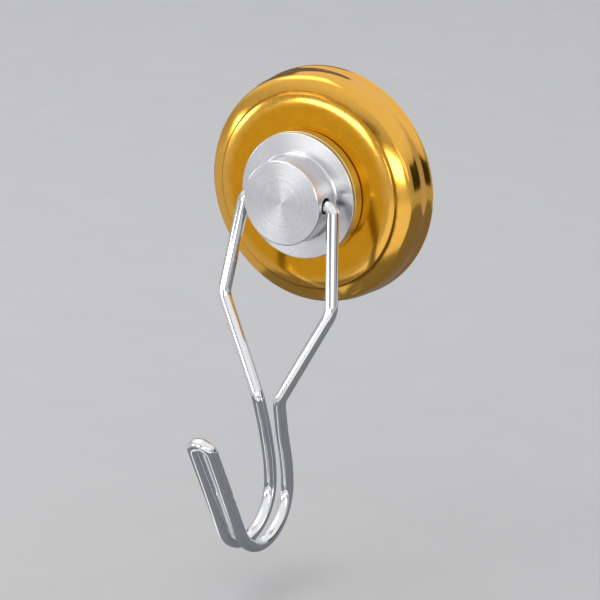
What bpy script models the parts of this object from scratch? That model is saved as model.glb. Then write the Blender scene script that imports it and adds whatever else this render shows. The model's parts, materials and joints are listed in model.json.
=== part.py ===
# A magnetic hook: a round magnet base in a gold pressed cover, a turned knob that swivels
# on it, and a sprung wire hook that swings in the knob's cross hole.
#
# Frame: the origin is the centre of the magnet's face, in the plane of the wall. The wall
# lies towards +Y, the hook stands out towards -Y, +Z is up and X runs along the cross hole.
# "Height" below is the distance out from the wall, along -Y. Lengths are in metres.

import math

import bmesh
import bpy
from mathutils import Matrix, Vector

# Clearances that pieces share
seat_gap = 0.0003            # between two pieces that rest on each other
running_gap = 0.0003         # round a piece that turns
cut_overrun = 0.001          # how far a cutter runs past what it cuts

# Cover: pressed steel shell with a flared rim, a sloping ring and a raised flat crown
rim_radius = 0.0329
rim_lift = 0.0003            # the rim's edge stands clear of the wall by this much
rim_lip = 0.0009
waist_inset = 0.0006         # how far the side wall draws in above the rim
waist_height = 0.0030
side_inset = 0.0003
side_height = 0.0062         # where the side wall starts to lean in
brow_inset = 0.0009          # from the side in to the ring's outer corner
brow_height = 0.00975
ring_width = 0.0041          # from that corner in to the crease
crease_height = 0.01125
step_width = 0.00025
step_rise = 0.0007           # from the crease up to the crown's shoulder
shoulder_width = 0.0033      # from the step in to the flat face
shoulder_rise = 0.0004
sheet_thickness = 0.0012
brow_round = 0.0022
crease_round = 0.00015
step_round = 0.0005
crown_round = 0.0140
side_round = 0.0060
waist_round = 0.0060
lip_round = 0.0004
inner_round = 0.0003         # least radius left inside a pressed corner

# Yoke plate: steel disc in the crown
yoke_thickness = 0.00235

# Face pad: thin non-slip sheet that meets the wall
pad_thickness = 0.0005

# Spacer ring: moulded ring that centres the magnet in the cover
spacer_width = 0.0020
spacer_below_brow = 0.00265  # the spacer stops this far under the cover's outer corner
edge_break = 0.0004          # small chamfer on magnet and spacer edges

# Pivot: shoulder screw, flanged bush and washers, all inside the magnet's bore
screw_radius = 0.0030
thread_depth = 0.0056        # how far the screw reaches into the knob
bush_wall = 0.0009
bush_flange_width = 0.0018
bush_flange_thickness = 0.0008
bush_end_inset = 0.0004      # the bush stops this far under the seat disc's top
washer_width = 0.0040
flat_washer_thickness = 0.0008
wave_washer_width = 0.0026
wave_washer_thickness = 0.0004
wave_height = 0.0008         # from a crest to a trough
waves = 3
head_overhang = 0.0022
head_clearance = 0.0009      # between the screw's head and the pad
head_chamfer = 0.0005
socket_across_flats = 0.0040
socket_depth_share = 0.6     # of the head's height
magnet_bore_clearance = 0.0015

# Seat disc: gold collar under the knob, with a recess for the thrust washer
seat_disc_margin = 0.0002    # how far the disc stands out past the knob's flange
seat_disc_thickness = 0.0033
seat_disc_chamfer = 0.0003
thrust_washer_thickness = 0.0006
thrust_rim_width = 0.0022    # wall of the seat disc left round the recess

# Knob: turned aluminium flange and boss in one piece
knob_flange_radius = 0.0176
knob_flange_thickness = 0.0008
knob_flange_chamfer = 0.0002
boss_radius = 0.0118
boss_length = 0.0085         # from the flange's front to the knob's front
boss_chamfer = 0.0004
boss_fillet = 0.0009
hole_place_share = 0.535     # cross hole's centre along the boss, from the flange
hole_depth = 0.0055

# Hook: one bent wire, both ends sprung into the cross holes
wire_radius = 0.00175
hole_clearance = 0.0005      # the hole's radius over the wire's
leg_clearance = 0.0003       # from the boss's side to the legs
end_clearance = 0.0006       # from the wire's end to the hole's end
shoulder_drop = 0.0274       # from the pivot down to the widest place
shoulder_half_width = 0.0171
shoulder_reach = 0.0061      # how far out the widest place stands from the pivot
neck_drop = 0.0263           # from there down to the neck
neck_half_width = 0.00335
neck_reach = 0.0046
taper_drop = 0.0095
strand_half_width = 0.00275
shank_lean = math.radians(14.0)       # the shank runs back towards the wall
shank_drop = 0.0262          # from the neck to where the shank stands upright
shank_round = 0.040
hook_radius = 0.0130
front_lean = math.radians(26.5)       # the front leg opens away from the shank
front_length = 0.0309
pivot_bend = 0.0022
shoulder_bend = 0.0065
neck_bend = 0.0060
taper_bend = 0.0300

# How finely round shapes are divided
cover_segments = 52
knob_segments = 52
ring_segments = 40
small_segments = 24
arc_step = math.radians(26.0)
bend_step = math.radians(15.0)
wire_resolution = 4          # twelve sides round the wire
shank_points = 6
tip_points = 6
sharp_angle = math.radians(30.0)      # edges sharper than this are shaded as creases
merge_share = 0.01           # of the least radius: points nearer than this are one point
hexagon_sides = 6

# The cover's heights and radii
waist_radius = rim_radius - waist_inset
side_radius = rim_radius - side_inset
brow_radius = side_radius - brow_inset
crease_radius = brow_radius - ring_width
step_radius = crease_radius - step_width
crown_radius = step_radius - shoulder_width / 2
step_height = crease_height + step_rise
face_height = step_height + shoulder_rise

# The stack inside the cover, from the crown down to the pad
crown_inside = face_height - sheet_thickness
yoke_front = crown_inside - seat_gap
yoke_back = yoke_front - yoke_thickness
yoke_radius = step_radius - shoulder_width - seat_gap
magnet_front = yoke_back - seat_gap
magnet_back = pad_thickness + seat_gap
skirt_inner_radius = waist_radius - sheet_thickness
spacer_radius = skirt_inner_radius - seat_gap
magnet_radius = spacer_radius - spacer_width - seat_gap

# The pivot's radii
bush_bore = screw_radius + running_gap
bush_radius = bush_bore + bush_wall
bush_hole = bush_radius + seat_gap
bush_flange_radius = bush_radius + bush_flange_width
washer_bore = screw_radius + running_gap
washer_radius = washer_bore + washer_width
head_radius = screw_radius + head_overhang
magnet_bore = max(washer_radius, bush_flange_radius, head_radius) + magnet_bore_clearance

# The pivot's stack, from the yoke plate back towards the wall
bush_flange_front = yoke_back - seat_gap
bush_flange_back = bush_flange_front - bush_flange_thickness
wave_front = bush_flange_back - running_gap
wave_back = wave_front - wave_height - wave_washer_thickness
flat_washer_front = wave_back - seat_gap
flat_washer_back = flat_washer_front - flat_washer_thickness
head_front = flat_washer_back - seat_gap
head_back = pad_thickness + head_clearance

# The stack in front of the cover
seat_disc_radius = knob_flange_radius + seat_disc_margin
seat_disc_back = face_height + seat_gap
seat_disc_front = seat_disc_back + seat_disc_thickness
knob_back = seat_disc_front + running_gap
thrust_front = seat_disc_front
thrust_back = thrust_front - thrust_washer_thickness
recess_floor = thrust_back - seat_gap
recess_radius = seat_disc_radius - thrust_rim_width
thrust_radius = recess_radius - seat_gap
flange_front = knob_back + knob_flange_thickness
knob_front = flange_front + boss_length
thread_end = knob_back + thread_depth
screw_end = thread_end - seat_gap

# The cross hole and the wire's axis, which lies on the hole's lower side
hole_height = flange_front + hole_place_share * boss_length
hole_radius = wire_radius + hole_clearance
wire_sag = hole_clearance - running_gap


def clear_scene():
    for old in list(bpy.data.objects):
        bpy.data.objects.remove(old, do_unlink=True)


def metal(name, colour, roughness, metallic=1.0):
    """A plain Principled material for one piece."""
    material = bpy.data.materials.new(name)
    material.use_nodes = True
    shader = material.node_tree.nodes["Principled BSDF"]
    shader.inputs["Base Color"].default_value = (*colour, 1.0)
    shader.inputs["Roughness"].default_value = roughness
    shader.inputs["Metallic"].default_value = metallic
    material.diffuse_color = (*colour, 1.0)
    return material


def corner_setback(before, corner, after, radius):
    """How far from a corner an arc of this radius would start."""
    opening = (before - corner).angle(after - corner)
    return radius * math.tan((math.pi - opening) / 2)


def corner_arc(before, corner, after, setback, step):
    """Points of the arc that rounds one corner, in two or three dimensions."""
    to_before = (before - corner).normalized()
    to_after = (after - corner).normalized()
    turn = math.pi - to_before.angle(to_after)
    if setback <= 0:
        return [corner.copy()]
    radius = setback / math.tan(turn / 2)
    middle = (to_before + to_after).normalized()
    centre = corner + middle * (radius / math.cos(turn / 2))
    start = corner + to_before * setback - centre
    end = corner + to_after * setback - centre
    count = max(2, math.ceil(turn / step))
    points = []
    for index in range(count + 1):
        part = index / count
        blend = start * math.sin((1 - part) * turn) + end * math.sin(part * turn)
        points.append(centre + blend / math.sin(turn))
    return points


def rounded_line(corners, step):
    """An open line through corners, each given as a point and the radius of its bend.

    Where two bends would meet on one straight, both are made tighter to fit on it.
    """
    places = [place for place, radius in corners]
    setbacks = [0.0] * len(corners)
    for index in range(1, len(corners) - 1):
        before, corner, after = places[index - 1:index + 2]
        setbacks[index] = corner_setback(before, corner, after, corners[index][1])
    fits = [1.0] * len(corners)
    for index in range(len(corners) - 1):
        wanted = setbacks[index] + setbacks[index + 1]
        room = (places[index + 1] - places[index]).length
        if wanted > room:
            fits[index] = min(fits[index], room / wanted)
            fits[index + 1] = min(fits[index + 1], room / wanted)
    points = [places[0].copy()]
    for index in range(1, len(corners) - 1):
        before, corner, after = places[index - 1:index + 2]
        points += corner_arc(before, corner, after, setbacks[index] * fits[index], step)
    points.append(places[-1].copy())
    return points


def pressed_inside(corners, thickness):
    """The inner line of a pressed sheet: each edge moved in, each bend kept concentric."""
    edges = []
    for index in range(len(corners) - 1):
        start = corners[index][0]
        end = corners[index + 1][0]
        along = (end - start).normalized()
        inward = Vector((-along.y, along.x))
        edges.append((start + inward * thickness, along))
    inner = [(edges[0][0], 0)]
    for index in range(1, len(edges)):
        start, along = edges[index - 1]
        other, direction = edges[index]
        cross = along.x * direction.y - along.y * direction.x
        offset = other - start
        reach = (offset.x * direction.y - offset.y * direction.x) / cross
        radius = corners[index][1]
        if cross > 0:
            radius = max(radius - thickness, inner_round)
        else:
            radius = radius + thickness
        inner.append((start + along * reach, radius))
    last_start, last_along = edges[-1]
    length = (corners[-1][0] - corners[-2][0]).length
    inner.append((last_start + last_along * length, 0))
    return inner


def chamfered_ring(inner, outer, back, front, chamfer):
    """Section of a plain ring with its four edges broken."""
    return [
        (outer, back + chamfer),
        (outer, front - chamfer),
        (outer - chamfer, front),
        (inner + chamfer, front),
        (inner, front - chamfer),
        (inner, back + chamfer),
        (inner + chamfer, back),
        (outer - chamfer, back),
    ]


def turned(name, section, segments, material):
    """A solid of revolution about the swivel axis, from a closed section of (radius, height)."""
    shape = bmesh.new()
    loop = [shape.verts.new((radius, 0, height)) for radius, height in section]

    # An edge that lies on the axis has nothing to sweep, so it is left out.
    edges = []
    for index, vertex in enumerate(loop):
        if section[index - 1][0] > 0 or section[index][0] > 0:
            edges.append(shape.edges.new((loop[index - 1], vertex)))
    bmesh.ops.spin(
        shape,
        geom=loop + edges,
        axis=(0, 0, 1),
        cent=(0, 0, 0),
        steps=segments,
        angle=math.tau,
        use_merge=True,
    )
    bmesh.ops.remove_doubles(shape, verts=shape.verts, dist=merge_share * inner_round)
    bmesh.ops.recalc_face_normals(shape, faces=shape.faces)
    return placed(name, shape, material)


def placed(name, shape, material):
    """Makes the object, stands its height along -Y and shades it."""
    mesh = bpy.data.meshes.new(name)
    shape.to_mesh(mesh)
    shape.free()
    mesh.materials.append(material)
    mesh.shade_smooth()
    mesh.set_sharp_from_angle(angle=sharp_angle)
    piece = bpy.data.objects.new(name, mesh)
    bpy.context.scene.collection.objects.link(piece)
    piece.rotation_euler = (math.radians(90.0), 0, 0)
    return piece


def cylinder_cutter(name, radius, start, end, segments):
    """A closed cylinder between two points, used only to cut."""
    axis = end - start
    shape = bmesh.new()
    bmesh.ops.create_cone(
        shape,
        cap_ends=True,
        segments=segments,
        radius1=radius,
        radius2=radius,
        depth=axis.length,
    )
    turn = axis.to_track_quat("Z", "Y").to_matrix().to_4x4()
    shape.transform(Matrix.Translation((start + end) / 2) @ turn)
    mesh = bpy.data.meshes.new(name)
    shape.to_mesh(mesh)
    shape.free()
    cutter = bpy.data.objects.new(name, mesh)
    bpy.context.scene.collection.objects.link(cutter)
    cutter.hide_render = True
    cutter.display_type = "WIRE"
    return cutter


def cut(piece, cutter):
    modifier = piece.modifiers.new(cutter.name, "BOOLEAN")
    modifier.operation = "DIFFERENCE"
    modifier.solver = "EXACT"
    modifier.object = cutter


def make_cover(material):
    """Pressed shell: rim lip, drawn-in side, sloping ring, crease and raised crown."""
    outside = [
        (Vector((rim_radius, rim_lift)), 0),
        (Vector((rim_radius, rim_lift + rim_lip)), lip_round),
        (Vector((waist_radius, waist_height)), waist_round),
        (Vector((side_radius, side_height)), side_round),
        (Vector((brow_radius, brow_height)), brow_round),
        (Vector((crease_radius, crease_height)), crease_round),
        (Vector((step_radius, step_height)), step_round),
        (Vector((crown_radius, face_height)), crown_round),
        (Vector((bush_hole, face_height)), 0),
    ]
    inside = pressed_inside(outside, sheet_thickness)
    section = rounded_line(outside, arc_step)
    section += reversed(rounded_line(inside, arc_step))
    points = [(point.x, point.y) for point in section]
    return turned("cover", points, cover_segments, material)


def make_yoke_plate(material):
    """Flat steel disc in the crown, which carries the pivot and feeds the magnet's field."""
    section = chamfered_ring(bush_hole, yoke_radius, yoke_back, yoke_front, edge_break)
    return turned("yoke_plate", section, ring_segments, material)


def make_ring_magnet(material):
    section = chamfered_ring(magnet_bore, magnet_radius, magnet_back, magnet_front, edge_break)
    return turned("ring_magnet", section, ring_segments, material)


def make_spacer_ring(material):
    inner = magnet_radius + seat_gap
    front = brow_height - spacer_below_brow
    section = chamfered_ring(inner, spacer_radius, magnet_back, front, edge_break)
    return turned("spacer_ring", section, ring_segments, material)


def make_face_pad(material):
    section = [
        (0, 0),
        (spacer_radius, 0),
        (spacer_radius, pad_thickness),
        (0, pad_thickness),
    ]
    return turned("face_pad", section, ring_segments, material)


def make_seat_disc(material):
    """Collar between the cover and the knob, recessed in front for the thrust washer."""
    chamfer = seat_disc_chamfer
    section = [
        (seat_disc_radius, seat_disc_back + chamfer),
        (seat_disc_radius, seat_disc_front - chamfer),
        (seat_disc_radius - chamfer, seat_disc_front),
        (recess_radius, seat_disc_front),
        (recess_radius, recess_floor),
        (bush_hole, recess_floor),
        (bush_hole, seat_disc_back),
        (seat_disc_radius - chamfer, seat_disc_back),
    ]
    return turned("seat_disc", section, knob_segments, material)


def make_thrust_washer(material):
    section = [
        (thrust_radius, thrust_back),
        (thrust_radius, thrust_front),
        (bush_hole, thrust_front),
        (bush_hole, thrust_back),
    ]
    return turned("thrust_washer", section, ring_segments, material)


def make_pivot_bush(material):
    """Flanged sleeve through the yoke plate, the cover and the seat disc."""
    front = thrust_front - bush_end_inset
    section = [
        (bush_flange_radius, bush_flange_back),
        (bush_flange_radius, bush_flange_front),
        (bush_radius, bush_flange_front),
        (bush_radius, front),
        (bush_bore, front),
        (bush_bore, bush_flange_back),
    ]
    return turned("pivot_bush", section, small_segments, material)


def make_flat_washer(material):
    section = [
        (washer_radius, flat_washer_back),
        (washer_radius, flat_washer_front),
        (washer_bore, flat_washer_front),
        (washer_bore, flat_washer_back),
    ]
    return turned("flat_washer", section, small_segments, material)


def make_wave_washer(material):
    """Thin spring ring whose height rises and falls round its axis."""
    middle = (wave_front + wave_back) / 2
    half = wave_washer_thickness / 2
    outer = washer_bore + wave_washer_width
    section = [
        (outer, middle - half),
        (outer, middle + half),
        (washer_bore, middle + half),
        (washer_bore, middle - half),
    ]
    piece = turned("wave_washer", section, ring_segments, material)
    for vertex in piece.data.vertices:
        angle = math.atan2(vertex.co.y, vertex.co.x)
        vertex.co.z += wave_height / 2 * math.cos(waves * angle)
    return piece


def make_pivot_screw(material):
    """Shoulder screw: its head turns on the washers and its end is held in the knob."""
    section = [
        (0, head_back),
        (head_radius - head_chamfer, head_back),
        (head_radius, head_back + head_chamfer),
        (head_radius, head_front),
        (screw_radius, head_front),
        (screw_radius, screw_end - head_chamfer),
        (screw_radius - head_chamfer, screw_end),
        (0, screw_end),
    ]
    piece = turned("pivot_screw", section, small_segments, material)
    depth = socket_depth_share * (head_front - head_back)
    corner_radius = socket_across_flats / math.sqrt(3.0)
    start = Vector((0, -(head_back - cut_overrun), 0))
    end = Vector((0, -(head_back + depth), 0))
    cut(piece, cylinder_cutter("cut_hex_socket", corner_radius, start, end, hexagon_sides))
    return piece


def make_knob(material):
    """Flange and boss turned from the solid, threaded at the back, cross drilled at the side."""
    root = [
        (Vector((knob_flange_radius, flange_front)), 0),
        (Vector((boss_radius, flange_front)), boss_fillet),
        (Vector((boss_radius, knob_front)), 0),
    ]
    fillet = [(point.x, point.y) for point in rounded_line(root, arc_step)[1:-1]]
    thread_radius = screw_radius + seat_gap
    section = [
        (knob_flange_radius - knob_flange_chamfer, knob_back),
        (knob_flange_radius, knob_back + knob_flange_chamfer),
        (knob_flange_radius, flange_front - knob_flange_chamfer),
        (knob_flange_radius - knob_flange_chamfer, flange_front),
        *fillet,
        (boss_radius, knob_front - boss_chamfer),
        (boss_radius - boss_chamfer, knob_front),
        (0, knob_front),
        (0, thread_end),
        (thread_radius, thread_end),
        (thread_radius, knob_back),
    ]
    piece = turned("knob", section, knob_segments, material)
    for side, name in ((1, "cut_hole_right"), (-1, "cut_hole_left")):
        start = Vector((side * (boss_radius - hole_depth), -hole_height, 0))
        end = Vector((side * (boss_radius + cut_overrun), -hole_height, 0))
        cut(piece, cylinder_cutter(name, hole_radius, start, end, small_segments))
    return piece


def hook_side():
    """Centre line of the right-hand half, from the wire's end to the tip, about the pivot.

    Points are (x, y, z) from the pivot, with y negative away from the wall.
    """
    end = Vector((boss_radius - hole_depth + end_clearance, 0, 0))
    pivot = Vector((boss_radius + leg_clearance + wire_radius, 0, 0))
    shoulder = Vector((shoulder_half_width, -shoulder_reach, -shoulder_drop))
    neck_out = shoulder_reach + neck_reach
    neck_down = shoulder_drop + neck_drop
    neck = Vector((neck_half_width, -neck_out, -neck_down))
    back_slope = math.tan(shank_lean)
    taper = Vector((strand_half_width, -(neck_out - taper_drop * back_slope), -(neck_down + taper_drop)))

    # The shank meets an upright line, with a long bend, just above the hook's round bottom.
    bend_setback = shank_round * math.tan(shank_lean / 2)
    corner_drop = shank_drop - bend_setback
    shank_out = neck_out - corner_drop * back_slope
    corner = Vector((strand_half_width, -shank_out, -(neck_down + corner_drop)))
    foot = Vector((strand_half_width, -shank_out, -(neck_down + shank_drop)))
    corners = [
        (end, 0),
        (pivot, pivot_bend),
        (shoulder, shoulder_bend),
        (neck, neck_bend),
        (taper, taper_bend),
        (corner, 0),
    ]
    line = rounded_line(corners, bend_step)[:-1]
    for index in range(shank_points):
        turn = shank_lean * (1 - index / shank_points)
        drop = shank_round * math.sin(turn)
        out = shank_round * (1 - math.cos(turn))
        line.append(Vector((strand_half_width, foot.y - out, foot.z + drop)))

    centre = Vector((strand_half_width, foot.y - hook_radius, foot.z))
    sweep = math.pi - front_lean
    count = math.ceil(sweep / bend_step)
    for index in range(count + 1):
        turn = sweep * index / count
        out = -hook_radius * math.cos(turn)
        down = hook_radius * math.sin(turn)
        line.append(Vector((strand_half_width, centre.y - out, centre.z - down)))
    rise = Vector((0, -math.sin(front_lean), math.cos(front_lean)))
    root = line[-1] + rise * front_length
    for index in range(tip_points + 1):
        turn = math.pi / 2 * index / tip_points
        line.append(
            Vector((strand_half_width * math.cos(turn), root.y, root.z))
            + rise * (strand_half_width * math.sin(turn))
        )
    return line


def make_wire_hook(material):
    """One wire bent to a closed-ended hook, both ends turned in to the knob's cross holes."""
    right = hook_side()
    left = [Vector((-point.x, point.y, point.z)) for point in reversed(right[:-1])]
    route = right + left
    curve = bpy.data.curves.new("wire_hook", "CURVE")
    curve.dimensions = "3D"
    curve.bevel_depth = wire_radius
    curve.bevel_resolution = wire_resolution
    curve.use_fill_caps = True
    curve.materials.append(material)
    spline = curve.splines.new("POLY")
    spline.points.add(len(route) - 1)
    for point, place in zip(spline.points, route):
        point.co = (*place, 1)
    piece = bpy.data.objects.new("wire_hook", curve)
    bpy.context.scene.collection.objects.link(piece)
    return piece


def make_joint_axis(name, place, parent=None):
    """An empty on a joint's axis, which carries the pieces that turn on it."""
    empty = bpy.data.objects.new(name, None)
    bpy.context.scene.collection.objects.link(empty)
    empty.parent = parent
    empty.location = place
    return empty


clear_scene()

gold = (0.60, 0.30, 0.02)
make_cover(metal("gold_plate", gold, 0.12))
make_seat_disc(metal("gold_collar", gold, 0.15))
make_yoke_plate(metal("zinc_steel", (0.42, 0.43, 0.44), 0.35))
make_ring_magnet(metal("ferrite", (0.05, 0.05, 0.055), 0.55, 0.2))
make_spacer_ring(metal("grey_resin", (0.12, 0.12, 0.13), 0.5, 0.0))
make_face_pad(metal("black_rubber", (0.03, 0.03, 0.03), 0.7, 0.0))
make_pivot_bush(metal("bronze", (0.45, 0.30, 0.14), 0.35))
make_thrust_washer(metal("nylon", (0.75, 0.74, 0.70), 0.45, 0.0))

swivel_axis = make_joint_axis("swivel_axis", (0, 0, 0))
swivel_pieces = [
    make_knob(metal("turned_aluminium", (0.75, 0.75, 0.77), 0.3)),
    make_pivot_screw(metal("screw_steel", (0.30, 0.30, 0.32), 0.3)),
    make_flat_washer(metal("washer_steel", (0.55, 0.55, 0.56), 0.3)),
    make_wave_washer(metal("spring_steel", (0.35, 0.34, 0.33), 0.25)),
]
for turning in swivel_pieces:
    turning.parent = swivel_axis

swing_axis = make_joint_axis("swing_axis", (0, -hole_height, -wire_sag), swivel_axis)
hook = make_wire_hook(metal("chromed_wire", (0.82, 0.83, 0.85), 0.08))
hook.parent = swing_axis
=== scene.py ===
# A magnetic hook: a gold pressed cover over a ring magnet, a turned knob that swivels on it,
# and a sprung chrome wire hook. Lengths are in metres. The wall lies towards +Y and the hook
# stands out towards -Y, so "height" below is the distance out from the wall, along -Y.
import json
import math

import bmesh
import bpy
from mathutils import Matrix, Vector


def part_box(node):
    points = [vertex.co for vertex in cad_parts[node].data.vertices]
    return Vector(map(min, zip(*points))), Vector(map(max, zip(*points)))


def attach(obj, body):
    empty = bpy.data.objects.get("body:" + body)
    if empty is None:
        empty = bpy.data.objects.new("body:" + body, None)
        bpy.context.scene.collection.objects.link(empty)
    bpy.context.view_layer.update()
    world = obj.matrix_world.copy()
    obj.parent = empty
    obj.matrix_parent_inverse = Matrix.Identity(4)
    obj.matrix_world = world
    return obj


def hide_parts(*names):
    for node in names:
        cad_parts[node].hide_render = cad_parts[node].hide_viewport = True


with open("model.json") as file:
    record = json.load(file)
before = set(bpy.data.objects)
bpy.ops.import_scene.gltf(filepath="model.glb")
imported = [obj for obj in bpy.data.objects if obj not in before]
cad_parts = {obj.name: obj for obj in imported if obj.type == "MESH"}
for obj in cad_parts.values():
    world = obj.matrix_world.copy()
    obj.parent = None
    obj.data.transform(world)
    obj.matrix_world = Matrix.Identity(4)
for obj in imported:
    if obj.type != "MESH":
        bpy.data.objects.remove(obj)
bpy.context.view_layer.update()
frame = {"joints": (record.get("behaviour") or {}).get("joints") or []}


# Camera: it stands to the right of the hook and a little above it, with a long lens, and looks
# at the middle of the picture, level with the wire's shoulders.
camera_bearing = math.radians(30.9)
camera_elevation = math.radians(18.3)
camera_distance = 0.7203
camera_aim = Vector((-0.00156, -0.01294, -0.03115))


def direction(bearing, elevation):
    """A unit vector away from the hook; bearing 0 is straight in front, positive to the right."""
    level = math.cos(elevation)
    return Vector((math.sin(bearing) * level, -math.cos(bearing) * level, math.sin(elevation)))


def add_object(name, data):
    made = bpy.data.objects.new(name, data)
    bpy.context.scene.collection.objects.link(made)
    return made


camera = add_object("camera", bpy.data.cameras.new("camera"))
bpy.context.scene.camera = camera
camera.data.sensor_width = 36.0
camera.data.lens = 156.0
camera.data.clip_start = 0.01
towards_camera = direction(camera_bearing, camera_elevation)
camera.location = camera_aim + towards_camera * camera_distance
camera.rotation_euler = towards_camera.to_track_quat("Z", "Y").to_euler()
bpy.context.scene.view_settings.view_transform = "Standard"


# Studio room: even grey walls under a brighter ceiling, which every polished surface mirrors. The
# walls run softly into the ceiling, so that no hard line shows in the chrome.
wall_tone = 0.45
ceiling_tone = 0.90
ceiling_starts = math.sin(math.radians(4.0))
ceiling_full = math.sin(math.radians(28.0))


def socket(sockets, name):
    """The socket of that name that is in use, since some nodes hide one for each data type."""
    return next(s for s in sockets if s.enabled and name in (s.identifier, s.name))


def node(tree, kind, inputs=None, **settings):
    """Adds a node, sets it up, and fills its inputs with values or with links."""
    made = tree.nodes.new(kind)
    for setting, value in settings.items():
        setattr(made, setting, value)
    for name, value in (inputs or {}).items():
        if isinstance(value, bpy.types.NodeSocket):
            tree.links.new(value, socket(made.inputs, name))
        else:
            socket(made.inputs, name).default_value = value
    return made


room = bpy.data.worlds.new("studio_room")
bpy.context.scene.world = room
room.use_nodes = True
room_tree = room.node_tree
room_way = node(room_tree, "ShaderNodeTexCoord").outputs["Generated"]
room_up = node(room_tree, "ShaderNodeSeparateXYZ", {"Vector": room_way}).outputs["Z"]
room_light = node(
    room_tree,
    "ShaderNodeMapRange",
    {
        "Value": room_up,
        "From Min": ceiling_starts,
        "From Max": ceiling_full,
        "To Min": wall_tone,
        "To Max": ceiling_tone,
    },
    interpolation_type="SMOOTHSTEP",
)
room_shader = room_tree.nodes["Background"]
room_shader.inputs["Color"].default_value = (1.0, 1.0, 1.0, 1.0)
room_tree.links.new(room_light.outputs["Result"], room_shader.inputs["Strength"])


# Floor: a wide sheet of pale matt paper that lies flat just under the hook. Its faint clouds keep
# it from looking dead, and it takes the hook's shadow.
floor_height = -0.106
floor_half_width = 3.0
paper_dark = (0.520, 0.523, 0.534)
paper_pale = (0.550, 0.553, 0.564)

floor_mesh = bpy.data.meshes.new("floor")
sheet_corners = [(-1, -1), (1, -1), (1, 1), (-1, 1)]
floor_mesh.from_pydata(
    [(x * floor_half_width, y * floor_half_width, floor_height) for x, y in sheet_corners],
    [],
    [(0, 1, 2, 3)],
)
floor = add_object("floor", floor_mesh)


def new_finish(name, **constants):
    """A material with its Principled shader's plain values set, and the tree that holds it."""
    material = bpy.data.materials.new(name)
    material.use_nodes = True
    shader = material.node_tree.nodes["Principled BSDF"]
    for value_name, value in constants.items():
        shader.inputs[value_name.replace("_", " ")].default_value = value
    return material, material.node_tree, shader


def feed(tree, output, shader, name):
    tree.links.new(output, shader.inputs[name])


def mixed(tree, factor, first, second):
    """A colour between two, by a factor that changes over the surface."""
    blend = node(
        tree,
        "ShaderNodeMix",
        {"Factor": factor, "A": (*first, 1.0), "B": (*second, 1.0)},
        data_type="RGBA",
    )
    return socket(blend.outputs, "Result")


def own_place(tree):
    """Each point's place in the piece's own measure, in metres."""
    return node(tree, "ShaderNodeTexCoord").outputs["Object"]


def noise(tree, place, scale, detail=2.0):
    """Soft random clouds from 0 to 1; the scale is their number in a metre."""
    return node(
        tree, "ShaderNodeTexNoise", {"Vector": place, "Scale": scale, "Detail": detail}
    ).outputs["Fac"]


paper, paper_tree, paper_shader = new_finish(
    "pale_paper", Roughness=0.9, Specular_IOR_Level=0.0
)
paper_cloud = noise(paper_tree, own_place(paper_tree), scale=60.0, detail=4.0)
paper_colour = mixed(paper_tree, paper_cloud, paper_dark, paper_pale)
feed(paper_tree, paper_colour, paper_shader, "Base Color")
floor_mesh.materials.append(paper)


# Lamps: soft boxes round the hook, each a flat sheet that gives even light. Grey, black and white
# cards lie under the hook and stand round it. Only mirrors see them, so they are painted
# reflections: the grey card under the hook paints the shaded floor beneath it, the dark standing
# cards paint dark parts of the room, and the white cards paint bright patches and a bright streak
# on the wire.
lamp_distance = 1.0
card_lift = 0.002


def soft_box(name, bearing, elevation, width, height, brightness):
    """A lamp whose face looks as bright as a white sheet times its brightness."""
    lamp = bpy.data.lights.new(name, "AREA")
    lamp.shape = "RECTANGLE"
    lamp.size = width
    lamp.size_y = height
    lamp.energy = brightness * math.pi * width * height
    holder = add_object(name, lamp)
    way = direction(math.radians(bearing), math.radians(elevation))
    holder.location = way * lamp_distance
    holder.rotation_euler = way.to_track_quat("Z", "Y").to_euler()
    holder.visible_camera = False


soft_box("key_box", bearing=-75, elevation=58, width=0.90, height=0.70, brightness=1.25)
soft_box("front_box", bearing=-22, elevation=-1, width=0.30, height=0.14, brightness=6.5)
soft_box("right_box", bearing=8, elevation=-2, width=0.24, height=0.15, brightness=6.5)
soft_box("left_box", bearing=-52, elevation=-1, width=0.28, height=0.13, brightness=6.0)
soft_box("fill_box", bearing=40, elevation=9, width=0.80, height=0.26, brightness=0.9)


def card(name, finish, centre, facing, half_width, half_height):
    """A sheet that only mirrors see, so that it changes no light on the floor: a painted
    reflection.
    """
    mesh = bpy.data.meshes.new(name)
    mesh.from_pydata(
        [(x * half_width, y * half_height, 0) for x, y in sheet_corners], [], [(0, 1, 2, 3)]
    )
    mesh.materials.append(finish)
    made = add_object(name, mesh)
    made.location = centre
    made.rotation_euler = facing.to_track_quat("Z", "Y").to_euler()
    made.visible_camera = False
    made.visible_diffuse = False
    made.visible_shadow = False


def lying_card(name, finish, x, y, half_width, half_height, lift=card_lift):
    place = Vector((x, y, floor_height + lift))
    card(name, finish, place, Vector((0.0, 0.0, 1.0)), half_width, half_height)


def standing_card(name, finish, bearing, elevation, half_width, half_height):
    way = direction(math.radians(bearing), math.radians(elevation))
    card(name, finish, way * lamp_distance, way, half_width, half_height)


def card_paper(name, dark, pale):
    material, tree, shader = new_finish(name, Roughness=1.0, Specular_IOR_Level=0.0)
    cloud = noise(tree, own_place(tree), scale=30.0)
    feed(tree, mixed(tree, cloud, dark, pale), shader, "Base Color")
    return material


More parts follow.
